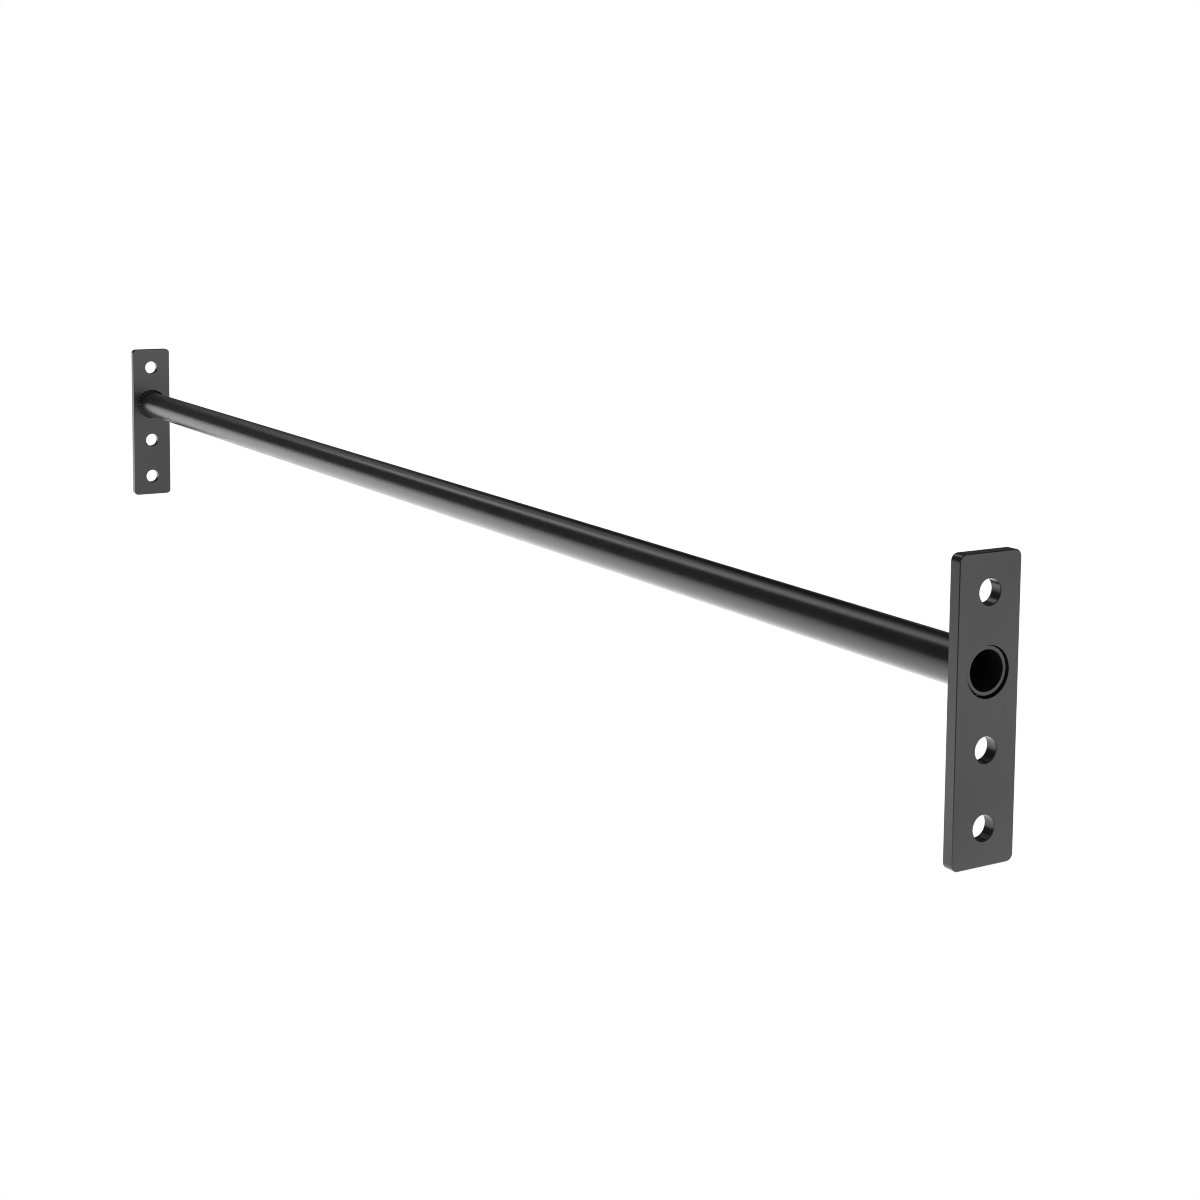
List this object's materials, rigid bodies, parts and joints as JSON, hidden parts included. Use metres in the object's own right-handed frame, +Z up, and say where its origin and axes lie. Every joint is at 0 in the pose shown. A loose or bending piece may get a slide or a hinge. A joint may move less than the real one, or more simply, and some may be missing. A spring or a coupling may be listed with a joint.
{
  "type": "pull up bar",
  "caption": "Straight round steel bar with an upright bolt-on plate welded to each end, each plate drilled in a row above and below the bar.",
  "frame": {"origin": "on the bar's axis, half way between the two end plates", "axes": "+X along the bar towards the right-hand plate, +Z up with the plates' longer ends hanging below the bar, +Y across the plates"},
  "size_m": [1.7, 0.05, 0.2],
  "materials": {
    "powder_coat": "satin black powder coat over steel",
    "coated_weld": "satin black powder coat over a rippled weld bead"
  },
  "bodies": {
    "root": {"tube": "powder_coat", "left_end_plate": "powder_coat", "right_end_plate": "powder_coat", "left_weld_bead": "coated_weld", "right_weld_bead": "coated_weld"}
  },
  "joints": []
}
